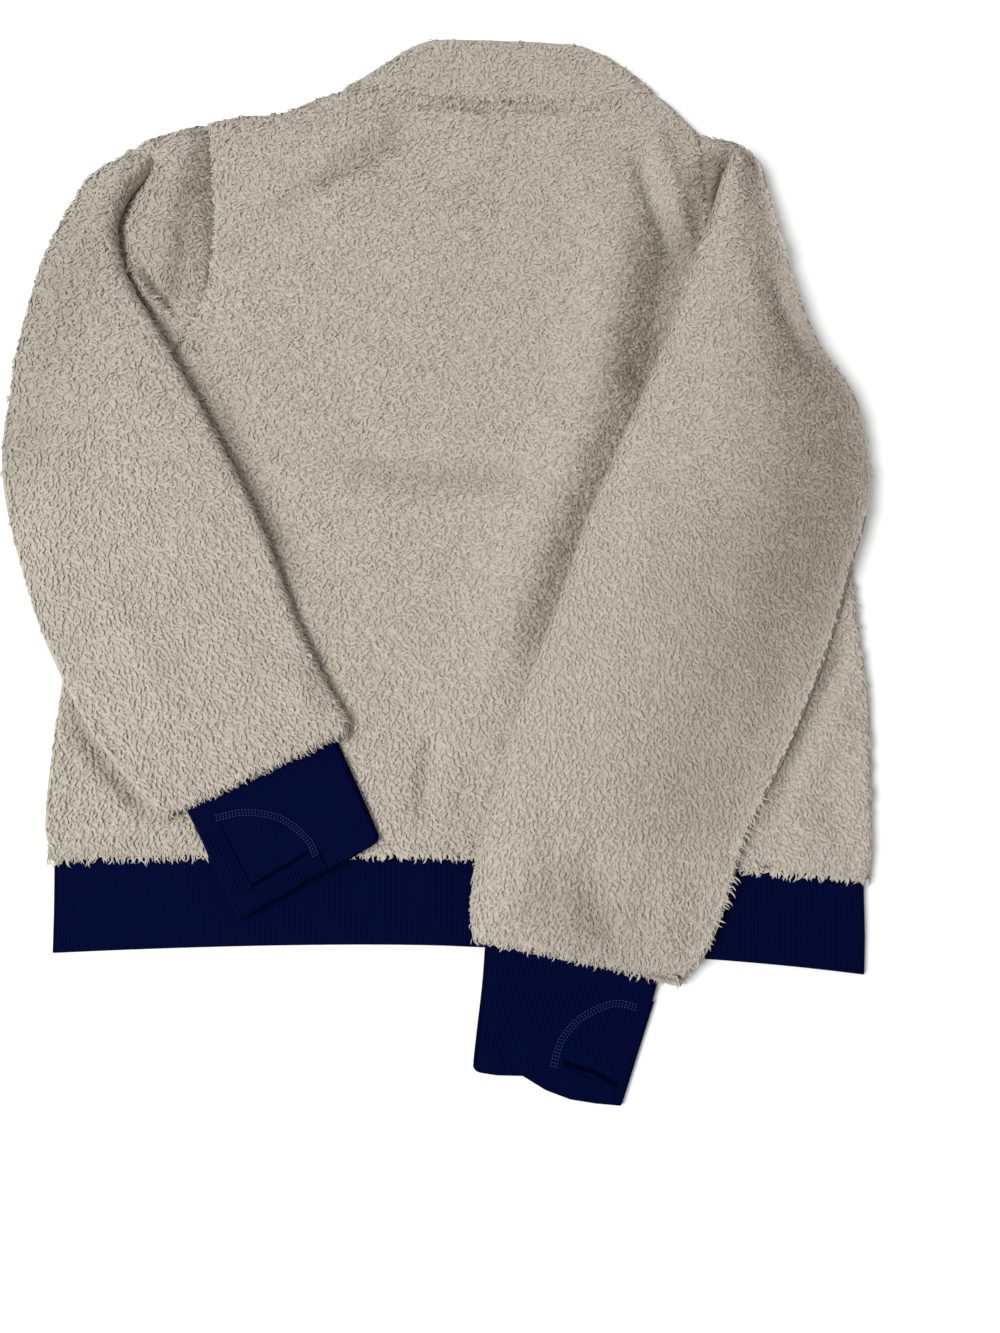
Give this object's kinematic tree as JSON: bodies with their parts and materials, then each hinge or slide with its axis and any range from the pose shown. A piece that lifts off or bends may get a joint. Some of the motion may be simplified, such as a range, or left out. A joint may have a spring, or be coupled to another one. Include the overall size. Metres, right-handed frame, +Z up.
{
  "type": "sherpa fleece pullover",
  "caption": "Sherpa fleece pullover with a stand collar, rib hem band and rib cuffs, lying face down with its sleeves folded over its back.",
  "frame": {"origin": "under the middle of the bounding box, on the surface the pullover lies on", "axes": "+Z up from the surface, +Y from the hem to the collar, +X towards the sleeve whose cuff reaches past the hem; the garment's back faces up"},
  "size_m": [0.5776, 0.737, 0.026],
  "materials": {
    "fleece": "curly cream sherpa pile, matte",
    "rib": "fine navy rib knit, matte"
  },
  "bodies": {
    "root": {"back_panel": "fleece", "front_panel": "fleece", "collar": "fleece", "sleeve_head_left": "fleece", "sleeve_head_right": "fleece", "sleeve_left": "fleece", "sleeve_right": "fleece", "hem_band": "rib", "cuff_left": "rib", "cuff_right": "rib", "thumb_patch_left": "rib", "thumb_patch_right": "rib"}
  },
  "joints": []
}
